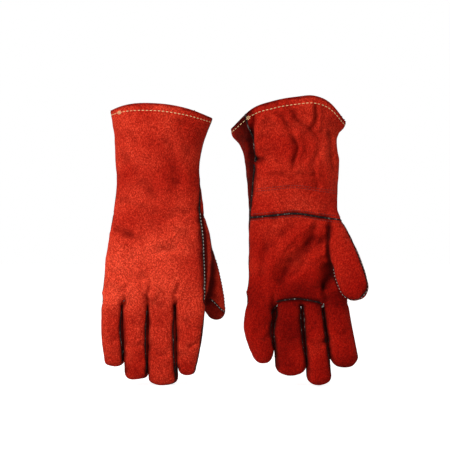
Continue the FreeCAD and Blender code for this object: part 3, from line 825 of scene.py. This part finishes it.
def paper_material():
    """Pale floor paper: lit like paper, and lifted towards white for the camera only."""
    material, tree, shader = new_material("floor_paper")
    shader.inputs["Base Color"].default_value = (0.8, 0.8, 0.8, 1)
    shader.inputs["Roughness"].default_value = 1.0
    shader.inputs["Specular IOR Level"].default_value = 0.0
    shader.inputs["Emission Color"].default_value = (1, 1, 1, 1)
    seen = node(tree, "ShaderNodeLightPath").outputs["Is Camera Ray"]
    tree.links.new(maths(tree, "MULTIPLY", seen, 0.75), shader.inputs["Emission Strength"])
    return material


MATERIALS = {
    "split_leather": suede_material(),
    "welt_leather": welt_material(),
    "thread": thread_material("cream_thread", (0.92, 0.62, 0.30)),
    "seam_thread": thread_material("dark_red_thread", (0.16, 0.012, 0.010)),
    "pale_thread": thread_material("pale_thread", (0.5, 0.42, 0.36)),
    "cuff_canvas": weave_material("cuff_canvas", (0.62, 0.54, 0.42), 260.0, 0.2),
    "fleece": weave_material("hand_fleece", (0.72, 0.69, 0.62), 200.0, 0.8),
}


# ---------------------------------------------------------------- pieces

class Glove:
    """Places a glove's pieces in the frame and hides the CAD nodes that each one stands for."""

    def __init__(self, name):
        self.name = name
        self.glove = GLOVES[name]
        self.joints = {joint["name"]: joint for joint in frame["joints"]}
        wrist = self.joints[f"{name}_wrist_bend"]["pos_m"]
        self.origin = np.array([wrist[0] * 1000 - self.glove["wrist_x"], wrist[1] * 1000, wrist[2] * 1000 - WRIST_Z])
        self.skin = Skin(name)

    def to_frame(self, points):
        """Glove millimetres to frame metres."""
        placed = np.array(points, float)
        placed[:, 1] *= self.glove["palm"]
        return (placed + self.origin) / 1000

    def directions(self, vectors):
        turned = np.array(vectors, float)
        turned[:, 1] *= self.glove["palm"]
        return turned

    def mesh(self, name, points, faces, normals=None, painted_shade=None, tone_and_light=None, material="split_leather"):
        """A mesh object from glove millimetres, with its rest position stored for the textures."""
        if self.glove["palm"] < 0:
            faces = [list(face)[::-1] for face in faces]
        data = bpy.data.meshes.new(f"{self.name}_{name}")
        data.from_pydata(self.to_frame(points).tolist(), [], [list(face) for face in faces])
        data.polygons.foreach_set("use_smooth", [True] * len(data.polygons))
        rest = data.attributes.new("rest", "FLOAT_VECTOR", "POINT")
        offset = np.array([0.0 if self.name == "right" else 900.0, 0, 0])
        rest.data.foreach_set("vector", ((np.array(points) + offset) / 1000).astype(np.float32).ravel())
        for key, values in (("painted_shade", painted_shade), ("tone_and_light", tone_and_light)):
            if values is not None:
                data.attributes.new(key, "FLOAT", "POINT").data.foreach_set("value", values.astype(np.float32))
        if normals is not None:
            data.normals_split_custom_set_from_vertices(self.directions(normals).tolist())
        data.materials.append(MATERIALS[material])
        obj = bpy.data.objects.new(f"{self.name}_{name}", data)
        bpy.context.scene.collection.objects.link(obj)
        return obj

    def panel(self, name, keep, depth=(0.0, LEATHER), material="split_leather"):
        """The quads that keep marks, thickened inwards between two depths into a closed sheet of leather."""
        skin = self.skin
        faces = skin.faces[keep]
        used, local = np.unique(faces, return_inverse=True)
        local = local.reshape(faces.shape)
        count = len(used)
        normals = skin.normals[used]
        outer = skin.verts[used] - normals * depth[0]
        inner = skin.verts[used] - normals * depth[1]
        sides = np.concatenate([local[:, [0, 1]], local[:, [1, 2]], local[:, [2, 3]], local[:, [3, 0]]])
        key = sides[:, 0] * count + sides[:, 1]
        back = sides[:, 1] * count + sides[:, 0]
        rim = sides[~np.isin(key, back)]
        rim_quads = np.stack([rim[:, 1], rim[:, 0], rim[:, 0] + count, rim[:, 1] + count], 1)
        quads = np.concatenate([local, local[:, ::-1] + count, rim_quads])
        points = np.concatenate([outer, inner])
        painted_shade, tone_and_light = np.tile(skin.painted_shade[used], 2), np.tile(skin.tone_and_light[used], 2)
        obj = self.mesh(name, points, quads.tolist(), None, painted_shade, tone_and_light, material)
        self.set_normals(obj, len(local), normals, count)
        return obj

    def set_normals(self, obj, sheet_faces, normals, count):
        """Gives both sides of a sheet the whole skin's normals, and its cut edge flat ones."""
        data = obj.data
        turned = self.directions(normals)
        both = np.concatenate([turned, -turned])
        corner = np.zeros(len(data.loops), int)
        data.loops.foreach_get("vertex_index", corner)
        loops = both[corner]
        flat = np.zeros(len(data.polygons) * 3)
        data.polygons.foreach_get("normal", flat)
        flat = flat.reshape(-1, 3)
        rim_start = sheet_faces * 2 * 4
        loops[rim_start:] = np.repeat(flat[sheet_faces * 2:], 4, axis=0)
        data.normals_split_custom_set(loops.tolist())

    def strip(self, name, chains, half_width=1.05, rise=1.0, sink=1.2, material="welt_leather"):
        """Welts: narrow rounded strips that stand up along seams."""
        points, faces = [], []
        profile = ((-half_width, -sink), (-half_width, rise * 0.45), (-half_width * 0.5, rise * 0.92), (0.0, rise),
                   (half_width * 0.5, rise * 0.92), (half_width, rise * 0.45), (half_width, -sink))
        wide = len(profile)
        for path, normals in chains:
            if len(path) < 3:
                continue
            tangent = np.gradient(path, axis=0)
            side = np.cross(normals, tangent)
            side /= np.maximum(np.linalg.norm(side, axis=1), 1e-9)[:, None]
            start = len(points)
            for i in range(len(path)):
                end = min(i, len(path) - 1 - i)
                low = 0.35 if end == 0 else 1.0
                points += [path[i] + side[i] * a + normals[i] * (b if b < 0 else b * low) for a, b in profile]
            for i in range(len(path) - 1):
                row = start + i * wide
                faces += [(row + k, row + (k + 1) % wide, row + wide + (k + 1) % wide, row + wide + k)
                          for k in range(wide)]
            faces.append(tuple(start + k for k in range(wide))[::-1])
            faces.append(tuple(start + (len(path) - 1) * wide + k for k in range(wide)))
        obj = self.mesh(name, np.array(points), faces, material=material)
        bm = bmesh.new()
        bm.from_mesh(obj.data)
        bmesh.ops.recalc_face_normals(bm, faces=bm.faces)
        bm.to_mesh(obj.data)
        bm.free()
        return obj

    def stitches(self, name, chains, pitch, length, radius, material="thread", lift=0.25):
        """A row of short threads along each chain."""
        points, faces = [], []
        ring = 8
        for path, normals in chains:
            gaps = np.linalg.norm(np.diff(path, axis=0), axis=1)
            reach = np.concatenate([[0], np.cumsum(gaps)])
            count = int(reach[-1] / pitch)
            for i in range(count):
                at = (i + 0.5) * pitch
                ends = [at - length / 2, at - length * 0.3, at, at + length * 0.3, at + length / 2]
                line = np.stack([np.interp(ends, reach, path[:, k]) for k in range(3)], 1)
                normal = np.array([np.interp(at, reach, normals[:, k]) for k in range(3)])
                self.add_thread(points, faces, line, normal / np.linalg.norm(normal), radius, lift, ring)
        obj = self.mesh(name, np.array(points), faces, material=material)
        return obj

    @staticmethod
    def add_thread(points, faces, line, normal, radius, lift, ring):
        """One stitch: a thread that dips into the leather at both ends."""
        start = len(points)
        along = line[-1] - line[0]
        along /= np.linalg.norm(along)
        side = np.cross(along, normal)
        sizes, dips = (0.45, 0.9, 1.0, 0.9, 0.45), (-0.5, 0.1, 0.35, 0.1, -0.5)
        for centre, size, dip in zip(line, sizes, dips):
            middle = centre + normal * (lift + dip * radius)
            for k in range(ring):
                angle = 2 * math.pi * k / ring
                points.append(middle + radius * size * (side * math.cos(angle) + normal * math.sin(angle)))
        for i in range(len(line) - 1):
            a = start + i * ring
            faces.extend((a + k, a + ring + k, a + ring + (k + 1) % ring, a + (k + 1) % ring) for k in range(ring))
        faces.append(tuple(start + k for k in range(ring)))
        faces.append(tuple(start + (len(line) - 1) * ring + k for k in range(ring))[::-1])

    def tie(self, obj, kind, slot, *nodes):
        """Bakes a piece's placement into its mesh and hides the CAD nodes that it stands for. Its slot is not used."""
        name, x = self.name, self.origin[0] / 1000
        base = self.origin[2]
        if kind == "cuff":
            start, end = [(x, 0, (base + z) / 1000) for z in WRIST_BEND_ZONE]
            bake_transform(obj)
        elif kind == "thumb":
            pattern = self.skin.pattern
            leaning = pattern.thumb_along + pattern.thumb_palmward * THUMB_BEND_LEAN
            step = leaning / np.dot(leaning, leaning) * pattern.thumb_length
            start, end = self.to_frame([pattern.thumb_root + step * share for share in THUMB_BEND_ZONE])
            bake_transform(obj)
        else:
            joint = self.joints[f"{name}_{kind}_bend"]["pos_m"]
            start, end = [(joint[0], joint[1], (base + z) / 1000) for z in FINGER_BEND_ZONE]
            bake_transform(obj)
        if nodes:
            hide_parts(*(f"{name}_{n}" for n in nodes))

    def build(self):
        skin = self.skin
        labels = skin.labels()
        z = skin.at_faces(skin.flat[:, 2])
        self.tie(self.panel("back_leather", labels == "back"), "cuff", "split_leather", "cuff_back", "hand_back")
        self.tie(self.panel("cuff_front_leather", labels == "cuff_front"), "cuff", "split_leather", "cuff_front")
        self.tie(self.panel("palm_leather", labels == "palm"), "cuff", "split_leather", "palm")
        self.tie(self.panel("thumb_wing_leather", labels == "thumb_wing"), "cuff", "split_leather", "thumb_wing")
        for part in ("thumb_back", "thumb_front"):
            self.tie(self.panel(part + "_leather", labels == part), "thumb", "split_leather", part)
        for finger in FINGERS:
            for part in ("back", "front", "fourchettes"):
                label = f"{finger}_{part}"
                self.tie(self.panel(label + "_leather", labels == label), finger, "split_leather", label)
        limb = np.isin(labels, ("back", "cuff_front", "palm"))
        inner = (LEATHER + LINING_GAP, LEATHER + LINING_GAP + LINING)
        canvas = limb & (z > WRIST_Z) & (z < HEM_FLAT - 6)
        self.tie(self.panel("cuff_lining_canvas", canvas, inner, "cuff_canvas"), "cuff", "cuff_canvas", "cuff_lining")
        fleece = limb & (z <= WRIST_Z)
        self.tie(self.panel("hand_lining_fleece", fleece, inner, "fleece"), "cuff", "fleece", "hand_lining")
        self.build_seams()

    def build_seams(self):
        skin, pattern, glove = self.skin, self.skin.pattern, self.glove
        x, p, z = skin.flat.T
        on_thumb = skin.thumb_side > 0
        left, right, depth = pattern.outline(z)
        little = x < (left + right) / 2
        limb = (z > CROTCH_Z + 1) & ~on_thumb
        ends = np.abs(x - (left + right) / 2) > (right - left) * 0.3
        little_seam = skin.chain(skin.seam, limb & little & ends, z)
        index_seam = skin.chain(skin.seam, limb & ~little & ends, z)
        cuff = [self.part_of(c, lambda q: q[:, 2] > WRIST_Z) for c in (little_seam, index_seam)]
        hand = [self.part_of(c, lambda q: q[:, 2] <= WRIST_Z + 1) for c in (little_seam, index_seam)]
        self.tie(self.strip("cuff_side_welts", cuff), "cuff", "welt_leather", "cuff_welts")
        palm = skin.seam > -1
        wrist = skin.chain(skin.wrist, palm & (z > 190), x)
        ring, middle = pattern.slots["ring"], pattern.slots["middle"]
        span = palm & (x > ring[0] - 1) & (x < middle[1] + 1) & (z > 100) & (z < 112)
        finger_seam = skin.chain(skin.finger_seam, span, x)
        self.tie(self.strip("hand_welts", hand + [wrist]), "cuff", "welt_leather", "hand_welts")
        self.tie(self.strip("palm_finger_welt", [finger_seam], 0.7, 0.5), "cuff", "welt_leather")
        thumb = (skin.thumb_side > 1) & (skin.t > 12)
        cut = pattern.thumb_length * THUMB_CUT
        # The thumb's seam is followed by its angle about a point between its two sides.
        middle = (glove["thumb_middle"], pattern.thumb_length * 0.6)
        turn = np.arctan2(skin.u - middle[0], skin.t - middle[1])
        self.thumb_chain = skin.chain(skin.thumb_seam, thumb & (skin.t > cut), turn)
        self.tie(self.strip("thumb_welt", [self.thumb_chain]), "thumb", "welt_leather", "thumb_welt")
        wing_chain = skin.chain(skin.thumb_seam, thumb & (skin.t < cut + 1) & (skin.u < 0), skin.t)
        self.tie(self.strip("thumb_wing_welt", [wing_chain]), "cuff", "welt_leather")
        for i, finger in enumerate(FINGERS):
            mine = (skin.finger == i) & (z < CROTCH_Z + 2) & ~on_thumb
            back = skin.chain(skin.turned + skin.wall, mine, skin.tip_angle)
            chains = [back]
            for side in (-1, 1):
                wall = mine & (skin.wall > 0.8) & (skin.across * side > 0)
                if wall.sum() > 30:
                    chains.append(skin.chain(skin.turned - skin.wall, wall, z))
            self.tie(self.strip(f"{finger}_seam_welts", chains, *glove["finger_welt"]), finger, "welt_leather", f"{finger}_welts")
        self.build_stitches()

    @staticmethod
    def part_of(chain, keep):
        points, normals = chain
        mask = keep(points)
        return points[mask], normals[mask]

    def build_stitches(self):
        """The pale hem row with its bartack, and the dark-red rows that hold the panels along the wrist seam."""
        skin = self.skin
        x, p, z = skin.flat.T
        half = np.abs(np.cos(skin.around))
        drop = z - (HEM_FLAT - 9 + 3 * half ** 6)
        hem = skin.chain(drop, z > HEM_FLAT - 20, skin.around)
        row = self.stitches("hem_stitches", [hem], 5.0, 3.3, 0.48)
        self.tie(row, "cuff", "thread", "cuff_hem_stitches")
        self.tie(self.stitches("hem_bartack", self.bartack(hem), 2.2, 2.6, 0.5), "cuff", "thread")
        palm = skin.seam > 4
        rows = [skin.chain(skin.wrist - rise, palm & (z > 185) & (z < 262), x) for rise in (-3.6, 4.2)]
        rows += [skin.chain(skin.wrist - rise, palm & (z > 225) & (z < 262), x) for rise in (32.0, 35.0)]
        row = self.stitches("cuff_seam_rows", rows, 3.4, 2.4, 0.34, "seam_thread")
        self.tie(row, "cuff", "thread")
        left, right, _ = skin.pattern.outline(z)
        edge = (x - (left + right) / 2 > (right - left) * 0.3) & (skin.thumb_side < 0) & (z > 104) & (z < 216)
        side_chain = skin.chain(skin.seam, edge, z)
        for part, chain, body in (("side", side_chain, "cuff"), ("thumb", self.thumb_chain, "thumb")):
            overcast = self.stitches(f"{part}_seam_overcast", [chain], 4.2, 2.4, 0.46, "pale_thread", 1.0)
            self.tie(overcast, body, "thread")

    def bartack(self, hem):
        """A few doubled stitches on the viewer's face of the hem, beside the little finger's side seam."""
        points, normals = hem
        facing = self.to_frame(points)[:, 1] < self.origin[1] / 1000
        at = np.argmin(np.where(facing, np.abs(points[:, 0] - self.glove["bartack"]), 1e9))
        reach = slice(max(at - 2, 0), at + 3)
        middle, normal = points[at], normals[at]
        along = points[reach][-1] - points[reach][0]
        along = along / np.linalg.norm(along)
        up = np.cross(normal, along)
        up = up / np.linalg.norm(up) * (1 if np.cross(normal, along)[2] > 0 else -1)
        chains = []
        for step in (-1.5, 0.0, 1.5):
            ends = np.array([middle + along * s + up * step for s in (-2.2, 0.0, 2.2)])
            chains.append((ends, np.tile(normal, (3, 1))))
        return chains


gloves = [Glove("right"), Glove("left")]
for glove in gloves:
    glove.build()


# ---------------------------------------------------------------- studio

def studio():
    """A pale floor under the fingertips, a white surround, and soft light from the upper left."""
    data = bpy.data.meshes.new("floor")
    reach = 6.0
    data.from_pydata([(-reach, -reach, 0), (reach, -reach, 0), (reach, reach, 0), (-reach, reach, 0)], [], [(0, 1, 2, 3)])
    data.materials.append(paper_material())
    floor = bpy.data.objects.new("floor", data)
    bpy.context.scene.collection.objects.link(floor)
    lights = (
        ("key", (-1.0, -1.15, 1.15), 0.8, 23.0),
        ("fill", (1.7, -1.7, 0.7), 1.6, 3.0),
        ("front", (-0.3, -2.4, 1.6), 1.2, 9.5),
    )
    target = Vector((0, 0, 0.18))
    for name, place, size, watts in lights:
        lamp = bpy.data.lights.new(name, "AREA")
        lamp.energy = watts
        lamp.shape = "DISK"
        lamp.size = size
        obj = bpy.data.objects.new(name, lamp)
        obj.location = place
        obj.rotation_euler = (target - Vector(place)).to_track_quat("-Z", "Y").to_euler()
        bpy.context.scene.collection.objects.link(obj)
    world = bpy.data.worlds.new("studio")
    bpy.context.scene.world = world
    world.use_nodes = True
    background = world.node_tree.nodes["Background"]
    background.inputs["Color"].default_value = (1, 1, 1, 1)
    seen = node(world.node_tree, "ShaderNodeLightPath").outputs["Is Camera Ray"]
    strength = maths(world.node_tree, "MULTIPLY_ADD", seen, 0.55)
    strength.node.inputs[2].default_value = 0.45
    world.node_tree.links.new(strength, background.inputs["Strength"])
    bpy.context.scene.view_settings.view_transform = "Standard"


def camera():
    """A long lens straight in front of the pair."""
    lens = bpy.data.cameras.new("camera")
    distance, wide = 3.2, 0.558
    lens.sensor_width = 36.0
    lens.lens = 36.0 * distance / wide
    lens.clip_start = 0.05
    obj = bpy.data.objects.new("camera", lens)
    target = Vector((-0.014, 0.0, 0.1995))
    obj.location = target + Vector((0, -distance, 0.03))
    obj.rotation_euler = (target - obj.location).to_track_quat("-Z", "Y").to_euler()
    bpy.context.scene.collection.objects.link(obj)
    bpy.context.scene.camera = obj


studio()
camera()
